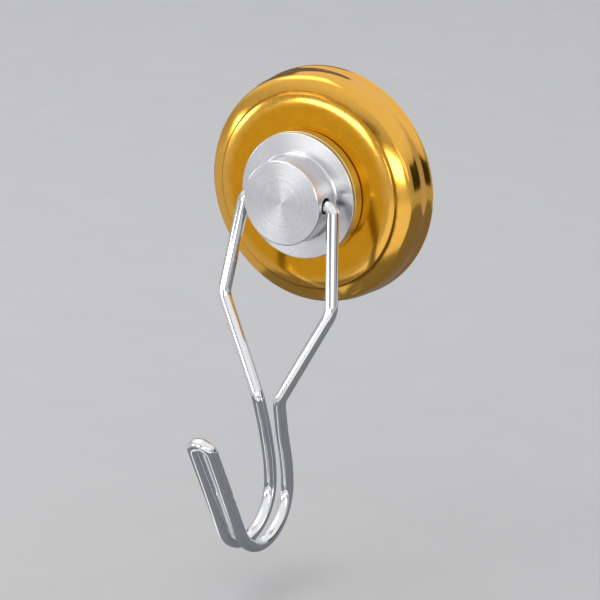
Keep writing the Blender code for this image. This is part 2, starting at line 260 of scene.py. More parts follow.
grey_paper = card_paper("grey_card", dark=(0.180, 0.185, 0.200), pale=(0.235, 0.240, 0.255))
black_paper = card_paper("black_card", dark=(0.030, 0.030, 0.032), pale=(0.050, 0.050, 0.053))
white_paper = card_paper("white_card", dark=(0.900, 0.900, 0.910), pale=(0.940, 0.940, 0.950))
# Painted reflections: the grey card under the hook stands for the shaded floor beneath it, the
# white strip paints a bright streak on the wire.
lying_card("under_card", grey_paper, x=0.12, y=0.055, half_width=0.22, half_height=0.195)
lying_card(
    "strip_card",
    white_paper,
    x=-0.022,
    y=-0.065,
    half_width=0.006,
    half_height=0.035,
    lift=2 * card_lift,
)
lying_card("behind_card", black_paper, x=-0.19, y=0.34, half_width=0.24, half_height=0.18)
lying_card("white_card", white_paper, x=0.13, y=-0.27, half_width=0.18, half_height=0.13)
standing_card("gap_card", grey_paper, bearing=-9, elevation=9, half_width=0.17, half_height=0.06)
standing_card(
    "right_card", black_paper, bearing=124, elevation=2, half_width=0.30, half_height=0.19
)
standing_card(
    "left_card", grey_paper, bearing=-146, elevation=12, half_width=0.25, half_height=0.25
)


# Cover: mild steel pressed to a shell with a short flared rim, a round ring that slopes up to a
# fine crease, and a raised flat crown. It is bright plated, then lacquered gold. Its colour is
# painted paler on the crown's shoulder, the ring and the side, a painted highlight, and darker in
# the crease, a painted shade. The pivot passes through its middle.
cover_low, cover_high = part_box("cover")
rim_radius = cover_high.x
rim_lift = -cover_high.y
face_height = -cover_low.y
sheet_thickness = 0.0012
rim_top = rim_lift + 0.0009
rim_round = 0.0004
waist_radius = rim_radius - 0.0006
waist_height = 0.0030
waist_round = 0.0060
side_radius = rim_radius - 0.0003
side_height = 0.0062
side_round = 0.0060
brow_radius = side_radius - 0.0009
brow_height = 0.00975
brow_round = 0.0022
ring_radius = brow_radius - 0.0021
ring_height = 0.01065
ring_round = 0.0170
crease_radius = ring_radius - 0.0020
crease_height = 0.01125
crease_round = 0.0004
step_radius = crease_radius - 0.00025
step_height = 0.01195
step_round = 0.0006
crown_radius = step_radius - 0.00165
crown_round = 0.0140
bore_radius = 0.0045
least_round = 0.0003
fine_step = math.radians(4.0)            # turn between two points of a bend
coarse_step = math.radians(10.0)
turned_segments = 240
spindle_radius = 0.05                    # any length greater than the widest piece's radius


def inside_of(corners, thickness):
    """The inner line of a pressed sheet: each edge moved in, each bend kept concentric."""
    edges = []
    for start, end in zip(corners, corners[1:]):
        along = (Vector(end[:2]) - Vector(start[:2])).normalized()
        edges.append((Vector(start[:2]) + Vector((-along.y, along.x)) * thickness, along))
    inner = [(*edges[0][0], 0.0)]
    for index in range(1, len(edges)):
        (start, along), (other, onward) = edges[index - 1], edges[index]
        cross = along.x * onward.y - along.y * onward.x
        offset = other - start
        place = start + along * ((offset.x * onward.y - offset.y * onward.x) / cross)
        bend = corners[index][2] + (-thickness if cross > 0 else thickness)
        inner.append((*place, max(bend, least_round)))
    last = Vector(corners[-1][:2]) + Vector((-edges[-1][1].y, edges[-1][1].x)) * thickness
    inner.append((*last, 0.0))
    return inner


def chain_mesh(name, corners, closed, step):
    """A bent line as a mesh of edges, with each corner's bend radius and how finely it is cut."""
    places = [Vector(corner[:-1]).to_3d() for corner in corners]
    edges = [(index, index + 1) for index in range(len(places) - 1)]
    if closed:
        edges.append((len(places) - 1, 0))
    mesh = bpy.data.meshes.new(name)
    mesh.from_pydata(places, edges, [])
    bends = mesh.attributes.new("bend", "FLOAT", "POINT")
    cuts = mesh.attributes.new("cuts", "INT", "POINT")
    for index, corner in enumerate(corners):
        bends.data[index].value = corner[-1]
        before = places[index - 1] - places[index]
        after = places[(index + 1) % len(places)] - places[index]
        turn = math.pi - before.angle(after, math.pi)
        cuts.data[index].value = max(1, math.ceil(turn / step))
    return mesh


def new_tree(name, inputs):
    """A Geometry Nodes tree with its own named inputs, a crease angle and a finish."""
    tree = bpy.data.node_groups.new(name, "GeometryNodeTree")
    tree.interface.new_socket("Geometry", in_out="OUTPUT", socket_type="NodeSocketGeometry")
    shared = [("Crease Angle", "NodeSocketFloat"), ("Finish", "NodeSocketMaterial")]
    for input_name, kind in inputs + shared:
        tree.interface.new_socket(input_name, in_out="INPUT", socket_type=kind)
    return tree, tree.nodes.new("NodeGroupInput").outputs, tree.nodes.new("NodeGroupOutput")


def bent_line(tree, line):
    """Turns a mesh of edges to a curve and rounds its corners, tighter where two would meet."""
    curve = node(tree, "GeometryNodeMeshToCurve", {"Mesh": line}).outputs["Curve"]
    bend = node(tree, "GeometryNodeInputNamedAttribute", {"Name": "bend"}, data_type="FLOAT")
    cuts = node(tree, "GeometryNodeInputNamedAttribute", {"Name": "cuts"}, data_type="INT")
    return node(
        tree,
        "GeometryNodeFilletCurve",
        {
            "Curve": curve,
            "Radius": socket(bend.outputs, "Attribute"),
            "Count": socket(cuts.outputs, "Attribute"),
            "Limit Radius": True,
        },
        mode="POLY",
    ).outputs["Curve"]


def joined(tree, shape, distance):
    """Joins the points where a swept shape meets itself."""
    return node(
        tree, "GeometryNodeMergeByDistance", {"Geometry": shape, "Distance": distance}
    ).outputs["Geometry"]


def finished_mesh(tree, shape, given, result):
    """The last nodes of a piece: creases, then one real mesh with its material."""
    soft = node(tree, "GeometryNodeSetShadeSmooth", {"Geometry": shape}).outputs["Geometry"]
    angle = node(tree, "GeometryNodeInputMeshEdgeAngle").outputs["Unsigned Angle"]
    sharp = node(
        tree,
        "FunctionNodeCompare",
        {"A": angle, "B": given["Crease Angle"]},
        data_type="FLOAT",
        operation="GREATER_THAN",
    ).outputs["Result"]
    creased = node(
        tree,
        "GeometryNodeSetShadeSmooth",
        {"Geometry": soft, "Selection": sharp, "Shade Smooth": False},
        domain="EDGE",
    ).outputs["Geometry"]
    real = node(tree, "GeometryNodeRealizeInstances", {"Geometry": creased}).outputs["Geometry"]
    dressed = node(
        tree, "GeometryNodeSetMaterial", {"Geometry": real, "Material": given["Finish"]}
    ).outputs["Geometry"]
    tree.links.new(dressed, result.inputs["Geometry"])


def turning_tree():
    """Turns a line of (radius less the spindle's, height) about the swivel axis."""
    tree, given, result = new_tree(
        "turned_about_the_swivel",
        [
            ("Line", "NodeSocketGeometry"),
            ("Segments", "NodeSocketInt"),
            ("Spindle Radius", "NodeSocketFloat"),
            ("Join Distance", "NodeSocketFloat"),
        ],
    )
    spindle = node(
        tree,
        "GeometryNodeCurvePrimitiveCircle",
        {"Resolution": given["Segments"], "Radius": given["Spindle Radius"]},
    ).outputs["Curve"]
    line = bent_line(tree, given["Line"])
    shape = node(tree, "GeometryNodeCurveToMesh", {"Curve": spindle, "Profile Curve": line})
    upright = node(
        tree,
        "GeometryNodeTransform",
        {"Geometry": shape.outputs["Mesh"], "Rotation": (math.radians(-90.0), 0.0, 0.0)},
    ).outputs["Geometry"]
    finished_mesh(tree, joined(tree, upright, given["Join Distance"]), given, result)
    return tree


turning = turning_tree()
crease_angle = math.radians(30.0)
join_distance = 1e-6


def run_tree(name, mesh, tree, material, values):
    """Runs a tree on a mesh; the result is a plain piece whose flat faces shade evenly."""
    values = {"Crease Angle": crease_angle, "Finish": material, **values}
    maker = add_object(name + "_maker", mesh)
    modifier = maker.modifiers.new("nodes", "NODES")
    modifier.node_group = tree
    for item in tree.interface.items_tree:
        if item.in_out == "INPUT" and item.name in values:
            modifier[item.identifier] = values[item.name]
    evener = maker.modifiers.new("even", "WEIGHTED_NORMAL")
    evener.keep_sharp = True
    evener.weight = 100
    evaluated = maker.evaluated_get(bpy.context.evaluated_depsgraph_get())
    result = bpy.data.meshes.new_from_object(evaluated)
    result.name = name
    bpy.data.objects.remove(maker)
    return add_object(name, result)


def turned(name, corners, material, closed=True, step=coarse_step):
    """A piece turned about the swivel axis from (radius, height, bend radius) corners."""
    line = [(radius - spindle_radius, height, bend) for radius, height, bend in corners]
    values = {
        "Segments": turned_segments,
        "Spindle Radius": spindle_radius,
        "Join Distance": join_distance,
    }
    return run_tree(name, chain_mesh(name, line, closed, step), turning, material, values)


def new_group(name, inputs, outputs):
    """A shader node group with named inputs and outputs, and its input and output nodes."""
    group = bpy.data.node_groups.new(name, "ShaderNodeTree")
    number = "NodeSocketFloat"
    for input_name, value in inputs:
        made = group.interface.new_socket(input_name, in_out="INPUT", socket_type=number)
        made.default_value = value
    for output_name in outputs:
        group.interface.new_socket(output_name, in_out="OUTPUT", socket_type=number)
    return group, group.nodes.new("NodeGroupInput").outputs, group.nodes.new("NodeGroupOutput")


def maths(tree, operation, first, second=None):
    inputs = {"Value": first} if second is None else {"Value": first, "Value_001": second}
    return node(tree, "ShaderNodeMath", inputs, operation=operation).outputs["Value"]


def rippled_skin():
    """Slow waves in a coat that flowed before it set, with a fine grain over them."""
    group, given, result = new_group(
        "rippled_skin",
        [("Wave Size", 0.002), ("Grain Size", 0.0002), ("Grain Share", 0.2)],
        ["Height", "Cloud"],
    )
    place = own_place(group)
    waves = noise(group, place, maths(group, "DIVIDE", 1.0, given["Wave Size"]), detail=1.0)
    grain = noise(group, place, maths(group, "DIVIDE", 1.0, given["Grain Size"]))
    height = maths(group, "ADD", waves, maths(group, "MULTIPLY", grain, given["Grain Share"]))
    group.links.new(height, result.inputs["Height"])
    group.links.new(waves, result.inputs["Cloud"])
    return group


skin = rippled_skin()


def place_group(tree, group, values):
    """Puts a shader node group in a material with its own values."""
    made = tree.nodes.new("ShaderNodeGroup")
    made.node_tree = group
    for name, value in values.items():
        made.inputs[name].default_value = value
    return made.outputs


def bump(tree, shader, height, distance):
    """Feeds a height, in multiples of a distance, to the shader's normal."""
    relief = node(tree, "ShaderNodeBump", {"Height": height, "Distance": distance})
    feed(tree, relief.outputs["Normal"], shader, "Normal")


def ranged(tree, value, low, high):
    """A value from 0 to 1 spread between two others."""
    return node(
        tree, "ShaderNodeMapRange", {"Value": value, "To Min": low, "To Max": high}
    ).outputs["Result"]


def swivel_radius(tree, place):
    """How far a place lies from the swivel axis."""
    part = node(tree, "ShaderNodeSeparateXYZ", {"Vector": place}).outputs
    flat = node(tree, "ShaderNodeCombineXYZ", {"X": part["X"], "Z": part["Z"]}).outputs["Vector"]
    return node(
        tree, "ShaderNodeVectorMath", {"Vector": flat}, operation="LENGTH"
    ).outputs["Value"]


# The pale gold is a painted highlight on slopes and rings, and the crease gold a painted shade.
deep_gold = (0.80, 0.35, 0.003)
pale_highlight_gold = (0.87, 0.45, 0.040)
crease_shade_gold = (0.50, 0.22, 0.008)
aslant_gold = (1.0, 0.65, 0.22, 1.0)     # tint of the surface where it is seen aslant
thin_gloss = 0.30                        # share of the surface that the clear top coat covers
full_gloss = 1.0
band_wander = 0.0005                     # how far the edge between two bands runs to and fro
cloud_shade = 0.94                       # the lacquer's tone at the bottom of its clouds
cloud_light = 1.05                       # and at the top of them
lacquer_depth = 0.0000012


def gold_lacquer(name, bands, low_roughness, high_roughness):
    """Gold lacquer on bright plate, in bands of (radius, colour, gloss); paler bands are painted
    highlight, darker ones painted shade.
    """
    material, tree, shader = new_finish(
        name,
        Metallic=1.0,
        Specular_Tint=aslant_gold,
        Coat_Roughness=0.10,
        Coat_IOR=1.5,
    )
    coat = place_group(
        tree, skin, {"Wave Size": 0.0022, "Grain Size": 0.00025, "Grain Share": 0.12}
    )
    wander = maths(tree, "MULTIPLY", maths(tree, "SUBTRACT", coat["Cloud"], 0.5), band_wander)
    radius = maths(tree, "ADD", swivel_radius(tree, own_place(tree)), wander)
    ramp = node(
        tree, "ShaderNodeValToRGB", {"Fac": maths(tree, "DIVIDE", radius, rim_radius)}
    )
    stops = ramp.color_ramp.elements
    while len(stops) < len(bands):
        stops.new(1.0)
    for stop, (band_radius, colour, gloss) in zip(stops, bands):
        stop.position = band_radius / rim_radius
        stop.color = (*colour, gloss)
    tone = ranged(tree, coat["Cloud"], cloud_shade, cloud_light)
    colour = node(
        tree, "ShaderNodeHueSaturation", {"Color": ramp.outputs["Color"], "Value": tone}
    ).outputs["Color"]
    feed(tree, colour, shader, "Base Color")
    feed(tree, ramp.outputs["Alpha"], shader, "Coat Weight")
    sheen = ranged(tree, coat["Cloud"], low_roughness, high_roughness)
    feed(tree, sheen, shader, "Roughness")
    bump(tree, shader, coat["Height"], lacquer_depth)
    return material


# Out from the axis: deep gold on the flat crown, paler on its shoulder and on the ring and side as
# painted highlight, darker in the crease as painted shade.
cover_bands = [
    (crown_radius - 0.0022, deep_gold, thin_gloss),
    (crown_radius, pale_highlight_gold, full_gloss),
    (step_radius - 0.0003, pale_highlight_gold, full_gloss),
    (step_radius + 0.0001, crease_shade_gold, thin_gloss),
    (crease_radius + 0.0001, crease_shade_gold, thin_gloss),
    (crease_radius + 0.0006, pale_highlight_gold, full_gloss),
]
outer_line = [
    (rim_radius, rim_lift, 0.0),
    (rim_radius, rim_top, rim_round),
    (waist_radius, waist_height, waist_round),
    (side_radius, side_height, side_round),
    (brow_radius, brow_height, brow_round),
    (ring_radius, ring_height, ring_round),
    (crease_radius, crease_height, crease_round),
    (step_radius, step_height, step_round),
    (crown_radius, face_height, crown_round),
    (bore_radius, face_height, 0.0),
]
cover_line = outer_line + inside_of(outer_line, sheet_thickness)[::-1]
cover_gold = gold_lacquer(
    "gold_cover_lacquer", cover_bands, low_roughness=0.11, high_roughness=0.17
)
cover = turned("gold_cover", cover_line, cover_gold, step=fine_step)
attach(cover, "base")
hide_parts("cover")


# Yoke plate: a disc blanked from thick steel, dull zinc plated and pressed up into the crown. It
# closes the magnet's field at the front and carries the pivot.
plate_bore = 0.0045
plate_edge = 0.0004
grain_spread = 0.14                      # how much rougher the palest grains are
grain_clouds = 220.0


def ring_corners(name, inner_radius, edge):
    """Corners of a plain ring or disc that fills a node's box, with all its edges eased."""
    low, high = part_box(name)
    back, front = -high.y, -low.y
    return [
        (inner_radius, back, edge),
        (high.x, back, edge),
        (high.x, front, edge),
        (inner_radius, front, edge),
    ]


def fine_crystals():
    """Small grains that lie side by side, each with its own tone and a pit where they meet."""
    group, given, result = new_group(
        "fine_crystals", [("Grain Size", 0.0005), ("Cloud Share", 0.3)], ["Tone", "Height"]
    )
    place = own_place(group)
    cells = node(
        group,
        "ShaderNodeTexVoronoi",
        {"Vector": place, "Scale": maths(group, "DIVIDE", 1.0, given["Grain Size"])},
    ).outputs
    cell_tone = node(group, "ShaderNodeSeparateColor", {"Color": cells["Color"]}).outputs["Red"]
    cloud = noise(group, place, grain_clouds, detail=3.0)
    own = maths(group, "MULTIPLY", cell_tone, maths(group, "SUBTRACT", 1.0, given["Cloud Share"]))
    tone = maths(group, "ADD", own, maths(group, "MULTIPLY", cloud, given["Cloud Share"]))
    height = maths(group, "SUBTRACT", 1.0, cells["Distance"])
    group.links.new(tone, result.inputs["Tone"])
    group.links.new(height, result.inputs["Height"])
    return group


crystals = fine_crystals()


def grained(name, dark, pale, rough, grain_size, pit_depth, **constants):
    """A finish made of fine grains between two tones, with small pits between them."""
    material, tree, shader = new_finish(name, **constants)
    grain = place_group(tree, crystals, {"Grain Size": grain_size})
    feed(tree, mixed(tree, grain["Tone"], dark, pale), shader, "Base Color")
    feed(tree, ranged(tree, grain["Tone"], rough, rough + grain_spread), shader, "Roughness")
    bump(tree, shader, grain["Height"], pit_depth)
    return material


dull_zinc = grained(
    "dull_zinc",
    dark=(0.47, 0.48, 0.49),
    pale=(0.66, 0.67, 0.68),
    rough=0.36,
    grain_size=0.0009,
    pit_depth=0.000002,
    Metallic=1.0,
)
plate = turned("yoke_disc", ring_corners("yoke_plate", plate_bore, plate_edge), dull_zinc)
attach(plate, "base")
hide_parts("yoke_plate")


# Seat disc: a turned steel collar on the crown, in the cover's gold but satin. Its side is
# painted a paler, duller gold, a painted sheen. Its front is cut back to a shallow recess that
# holds the thrust washer, and the bush passes through its middle.
disc_low, disc_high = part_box("seat_disc")
disc_radius = disc_high.x
disc_back = -disc_high.y
disc_front = -disc_low.y
recess_radius = disc_radius - 0.0022
recess_floor = disc_front - 0.0009
disc_edge = 0.0003
disc_line = [
    (bore_radius, disc_back, 0.0),
    (disc_radius, disc_back, disc_edge),
    (disc_radius, disc_front, disc_edge),
    (recess_radius, disc_front, 0.0),
    (recess_radius, recess_floor, 0.0),
    (bore_radius, recess_floor, 0.0),
]
# The side's paler, duller gold is a painted sheen.
disc_side_sheen_gold = (0.68, 0.66, 0.28)
disc_bands = [
    (disc_radius - 0.0012, pale_highlight_gold, thin_gloss),
    (disc_radius - 0.0002, disc_side_sheen_gold, full_gloss),
]
disc_gold = gold_lacquer(
    "gold_disc_lacquer", disc_bands, low_roughness=0.38, high_roughness=0.46
)
disc = turned("gold_seat_disc", disc_line, disc_gold, step=fine_step)
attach(disc, "base")
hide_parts("seat_disc")


# Bush: a flanged sleeve of sintered bronze, pressed through the yoke plate, the crown and the
# seat disc. The screw turns in it, on the oil that its pores hold.
bush_low, bush_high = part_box("pivot_bush")
bush_back = -bush_high.y
bush_front = -bush_low.y
bush_bore = 0.0033
sleeve_radius = 0.0042
bush_flange_front = bush_back + 0.0008
bush_edge = 0.00015
bush_line = [
    (bush_bore, bush_back, bush_edge),
    (bush_high.x, bush_back, bush_edge),
    (bush_high.x, bush_flange_front, bush_edge),
    (sleeve_radius, bush_flange_front, 0.0),
    (sleeve_radius, bush_front, bush_edge),
    (bush_bore, bush_front, bush_edge),
]
bronze = grained(
    "sintered_bronze",
    dark=(0.40, 0.26, 0.12),
    pale=(0.66, 0.48, 0.27),
    rough=0.34,
    grain_size=0.00016,
    pit_depth=0.000004,
    Metallic=1.0,
)
bush = turned("bronze_bush", bush_line, bronze)
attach(bush, "base")
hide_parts("pivot_bush")


# Thrust washer: a thin ring stamped from natural nylon sheet. It lies in the seat disc's recess
# and keeps the knob's flange off the gold.
thrust_bore = 0.0045
thrust_edge = 0.0001
nylon_dark = (0.70, 0.68, 0.60)
nylon_pale = (0.82, 0.81, 0.75)
knife_way = (0.03, 1.0, 1.0)             # the knife's lines are drawn out along X
knife_lines = 4000.0
knife_depth = 0.000006


def skived_nylon():
    """Milky nylon with the straight faint lines of the knife that shaved the sheet."""
    material, tree, shader = new_finish("natural_nylon")
    coat = place_group(
        tree, skin, {"Wave Size": 0.0040, "Grain Size": 0.0003, "Grain Share": 0.15}
    )
    feed(tree, mixed(tree, coat["Cloud"], nylon_dark, nylon_pale), shader, "Base Color")
    drawn_out = node(
        tree,
        "ShaderNodeVectorMath",
        {"Vector": own_place(tree), "Vector_001": knife_way},
        operation="MULTIPLY",
    ).outputs["Vector"]
    lines = noise(tree, drawn_out, knife_lines, detail=1.0)
    feed(tree, ranged(tree, lines, low=0.38, high=0.50), shader, "Roughness")
    bump(tree, shader, lines, knife_depth)
    return material


thrust = turned(
    "nylon_washer", ring_corners("thrust_washer", thrust_bore, thrust_edge), skived_nylon()
)
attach(thrust, "base")
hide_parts("thrust_washer")


# Knob: one piece of aluminium bar, turned to a thin flange and a boss, then cross drilled for
# the wire's ends. It is left as it came off the lathe, with fine rings all over it.
knob_low, knob_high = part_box("knob")
flange_radius = knob_high.x
knob_back = -knob_high.y
knob_front = -knob_low.y
flange_front = knob_back + 0.0008
flange_edge = 0.0002
boss_radius = 0.0118
boss_edge = 0.0004
boss_root = 0.0009
thread_radius = 0.0033
thread_end = knob_back + 0.0056
chatter_marks = 2600.0
knob_line = [
    (0.0, thread_end, 0.0),
    (thread_radius, thread_end, 0.0),
    (thread_radius, knob_back, 0.0),
    (flange_radius, knob_back, flange_edge),
    (flange_radius, flange_front, flange_edge),
    (boss_radius, flange_front, boss_root),
    (boss_radius, knob_front, boss_edge),
    (0.0, knob_front, 0.0),
]


def lathe_rings():
    """Fine rings about the swivel axis, each its own depth, on faces and on sides alike."""
    group, given, result = new_group(
        "lathe_rings", [("Pitch", 0.00012), ("Chatter", 0.4)], ["Height", "Tone"]
    )
    place = own_place(group)
    depth = node(group, "ShaderNodeSeparateXYZ", {"Vector": place}).outputs["Y"]
    radius = swivel_radius(group, place)
    ring_place = node(group, "ShaderNodeCombineXYZ", {"X": radius, "Y": depth}).outputs["Vector"]
    rings = noise(group, ring_place, maths(group, "DIVIDE", 1.0, given["Pitch"]))
    chatter = noise(group, place, chatter_marks, detail=1.0)
    height = maths(group, "ADD", rings, maths(group, "MULTIPLY", chatter, given["Chatter"]))
    tone = maths(group, "MULTIPLY", maths(group, "ADD", rings, chatter), 0.5)
    group.links.new(height, result.inputs["Height"])
    group.links.new(tone, result.inputs["Tone"])
    return group


rings = lathe_rings()


def turned_metal(name, dark, pale, low_roughness, high_roughness, pitch, depth, stretch):
    """Metal as a lathe leaves it: fine rings that stretch each highlight across them."""
    material, tree, shader = new_finish(
        name, Metallic=1.0, Anisotropic=stretch, Anisotropic_Rotation=0.25
    )
    cut = place_group(tree, rings, {"Pitch": pitch})
    feed(tree, mixed(tree, cut["Tone"], dark, pale), shader, "Base Color")
    feed(tree, ranged(tree, cut["Tone"], low_roughness, high_roughness), shader, "Roughness")
    bump(tree, shader, cut["Height"], depth)
    tangent = node(tree, "ShaderNodeTangent", direction_type="RADIAL", axis="Y")
    feed(tree, tangent.outputs["Tangent"], shader, "Tangent")
    return material


aluminium = turned_metal(
    "turned_aluminium",
    dark=(0.54, 0.54, 0.56),
    pale=(0.94, 0.94, 0.96),
    low_roughness=0.20,
    high_roughness=0.30,
    pitch=0.00014,
    depth=0.0000020,
    stretch=0.70,
)
knob = turned("turned_knob", knob_line, aluminium, closed=False, step=fine_step)

hole_height = -frame["joints"][1]["pos_m"][1]
hole_radius = 0.00225
hole_depth = 0.0055
hole_sides = 64
countersink = 0.00022
overrun = 0.001


def cutting_bar(name, start, along, sideways, stations, sides):
    """A closed bar with straight sides, through stations of (distance along, radius)."""
    bar = bmesh.new()
    upwards = Vector((0.0, 0.0, 1.0))
    turns = [math.tau * index / sides for index in range(sides)]
    loops = []
    for distance, radius in stations:
        middle = start + along * distance
        spokes = [sideways * math.cos(turn) + upwards * math.sin(turn) for turn in turns]
        loops.append([bar.verts.new(middle + spoke * radius) for spoke in spokes])
    for near, far in zip(loops, loops[1:]):
        for index in range(sides):
            onward = (index + 1) % sides
            bar.faces.new((near[index], near[onward], far[onward], far[index]))
    bar.faces.new(loops[0])
    bar.faces.new(loops[-1])
    bmesh.ops.recalc_face_normals(bar, faces=bar.faces)
    mesh = bpy.data.meshes.new(name)
    bar.to_mesh(mesh)
    bar.free()
    return add_object(name, mesh)


def cross_drill(name, along):
    """A drill from the knob's middle outwards, wider where it breaks the boss's surface."""
    stations = [
        (boss_radius - hole_depth, hole_radius),
        (boss_radius - countersink, hole_radius),
        (boss_radius, hole_radius + countersink),
        (boss_radius + overrun, hole_radius + countersink),
    ]
    middle = Vector((0.0, -hole_height, 0.0))
    return cutting_bar(name, middle, along, Vector((0.0, 1.0, 0.0)), stations, hole_sides)


def carve(piece, cutters):
    """Cuts each cutter out of a piece and keeps the result as its plain mesh."""
    for cutter in cutters:
        modifier = piece.modifiers.new(cutter.name, "BOOLEAN")
        modifier.object = cutter
        modifier.solver = "EXACT"
    evaluated = piece.evaluated_get(bpy.context.evaluated_depsgraph_get())
    carved = bpy.data.meshes.new_from_object(evaluated)
    piece.modifiers.clear()
    piece.data = carved
    for cutter in cutters:
        bpy.data.objects.remove(cutter)


right_drill = cross_drill("drill_right", Vector((1.0, 0.0, 0.0)))
left_drill = cross_drill("drill_left", Vector((-1.0, 0.0, 0.0)))
carve(knob, [right_drill, left_drill])
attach(knob, "swivel_knob")
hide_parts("knob")


# Wave washer: a thin ring of spring steel, pressed into three waves round its axis. It pushes
# between the bush's flange and the flat washer, so that the knob doesn't rattle.
wave_low, wave_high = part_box("wave_washer")
spring_thickness = 0.0004
spring_bore = 0.0033
spring_edge = 0.0001
wave_count = 3
half_wave = (wave_high.y - wave_low.y - spring_thickness) / 2
spring_middle = -(wave_low.y + wave_high.y) / 2
spring_back = spring_middle - spring_thickness / 2
spring_front = spring_middle + spring_thickness / 2


def waving_tree():
    """Bends a flat ring so that it rises and falls round the swivel axis."""
    tree, given, result = new_tree(
        "waved_round_the_swivel",
        [
            ("Flat Ring", "NodeSocketGeometry"),
            ("Waves", "NodeSocketInt"),
            ("Half Wave", "NodeSocketFloat"),
        ],
    )
    place = node(tree, "GeometryNodeInputPosition").outputs["Position"]
    part = node(tree, "ShaderNodeSeparateXYZ", {"Vector": place}).outputs
    turn = maths(tree, "ARCTAN2", part["Z"], part["X"])
    rise = maths(tree, "COSINE", maths(tree, "MULTIPLY", turn, given["Waves"]))
    y_move = maths(tree, "MULTIPLY", maths(tree, "MULTIPLY", rise, given["Half Wave"]), -1.0)
    move = node(tree, "ShaderNodeCombineXYZ", {"Y": y_move}).outputs["Vector"]
    waved = node(
        tree, "GeometryNodeSetPosition", {"Geometry": given["Flat Ring"], "Offset": move}
    ).outputs["Geometry"]
    finished_mesh(tree, waved, given, result)
    return tree


spring_steel = turned_metal(
    "spring_steel",
    dark=(0.34, 0.33, 0.32),
    pale=(0.48, 0.46, 0.44),
    low_roughness=0.26,
    high_roughness=0.40,
    pitch=0.00020,
    depth=0.0000010,
    stretch=0.4,
)
spring_line = [
    (spring_bore, spring_back, spring_edge),
    (wave_high.x, spring_back, spring_edge),
    (wave_high.x, spring_front, spring_edge),
    (spring_bore, spring_front, spring_edge),
]
flat_ring = turned("flat_ring", spring_line, spring_steel)
wave_values = {"Waves": wave_count, "Half Wave": half_wave}
wave_washer = run_tree("waved_washer", flat_ring.data, waving_tree(), spring_steel, wave_values)
bpy.data.objects.remove(flat_ring)
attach(wave_washer, "swivel_knob")
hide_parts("wave_washer")


# Flat washer: a ring stamped from steel strip and bright zinc plated. It lies on the screw's head
# and turns with it.
washer_bore = 0.0033
washer_edge = 0.0002
bright_zinc = grained(
    "bright_zinc",
    dark=(0.55, 0.57, 0.60),
    pale=(0.72, 0.74, 0.77),
    rough=0.22,
    grain_size=0.0005,
    pit_depth=0.0000015,
    Metallic=1.0,
)
washer = turned("plain_washer", ring_corners("flat_washer", washer_bore, washer_edge), bright_zinc)
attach(washer, "swivel_knob")
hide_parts("flat_washer")


# Screw: a shoulder screw with a hexagon socket in its head. Its plain shank turns in the bush and
# its threaded end is screwed tight into the knob.
screw_low, screw_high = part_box("pivot_screw")
head_radius = screw_high.x
head_back = -screw_high.y
screw_end = -screw_low.y
head_front = head_back + 0.0031
head_edge = 0.0005
head_root = 0.0002
shank_radius = 0.0030
thread_pitch = 0.0010
thread_depth = 0.00055
thread_cuts = 12                         # points along one turn of the thread
thread_ease = 0.0012                     # length over which the thread runs in and out
thread_begin = knob_back + 0.0002
thread_flank = 2.4                       # steepness of the thread's sides
shank_play = 0.01                        # share of the radius within which a point is on the shank
socket_across = 0.0040
socket_depth = 0.0019
socket_mouth = 0.0003


def threading_tree():
    """Cuts a screw thread into a plain shank by moving its points towards the axis."""
    tree, given, result = new_tree(
        "thread_on_a_shank",
        [
            ("Blank", "NodeSocketGeometry"),
            ("Shank Radius", "NodeSocketFloat"),
            ("Begin", "NodeSocketFloat"),
            ("End", "NodeSocketFloat"),
            ("Pitch", "NodeSocketFloat"),
            ("Depth", "NodeSocketFloat"),
            ("Ease", "NodeSocketFloat"),
        ],
    )
    place = node(tree, "GeometryNodeInputPosition").outputs["Position"]
    part = node(tree, "ShaderNodeSeparateXYZ", {"Vector": place}).outputs
    height = maths(tree, "MULTIPLY", part["Y"], -1.0)
    flat = node(tree, "ShaderNodeCombineXYZ", {"X": part["X"], "Z": part["Z"]}).outputs["Vector"]
    radius = swivel_radius(tree, place)
    least = maths(tree, "MULTIPLY", given["Shank Radius"], 1.0 - shank_play)
    most = maths(tree, "MULTIPLY", given["Shank Radius"], 1.0 + shank_play)
    on_shank = maths(
        tree,
        "MULTIPLY",
        maths(tree, "GREATER_THAN", radius, least),
        maths(tree, "LESS_THAN", radius, most),
    )

    # The groove climbs by one pitch in each turn, as a left-hand thread does. Its wave is 0 on a
    # crest and 0.5 at a root.
    turns = maths(tree, "DIVIDE", maths(tree, "ARCTAN2", part["Z"], part["X"]), math.tau)
    past_begin = maths(tree, "SUBTRACT", height, given["Begin"])
    before_end = maths(tree, "SUBTRACT", given["End"], height)
    climb = maths(tree, "DIVIDE", past_begin, given["Pitch"])
    groove = maths(tree, "PINGPONG", maths(tree, "ADD", climb, turns), 0.5)
    flank = maths(tree, "MINIMUM", maths(tree, "MULTIPLY", groove, thread_flank), 1.0)
    nearer_end = maths(tree, "MINIMUM", past_begin, before_end)
    inside = maths(tree, "MAXIMUM", maths(tree, "DIVIDE", nearer_end, given["Ease"]), 0.0)
    ease = maths(tree, "MINIMUM", inside, 1.0)
    depth = maths(tree, "MULTIPLY", maths(tree, "MULTIPLY", flank, ease), given["Depth"])
    share = maths(tree, "MULTIPLY", maths(tree, "DIVIDE", depth, radius), -1.0)
    move = node(
        tree, "ShaderNodeVectorMath", {"Vector": flat, "Scale": share}, operation="SCALE"
    ).outputs["Vector"]
    cut = node(
        tree,
        "GeometryNodeSetPosition",
        {"Geometry": given["Blank"], "Selection": on_shank, "Offset": move},
    ).outputs["Geometry"]
    finished_mesh(tree, cut, given, result)
    return tree


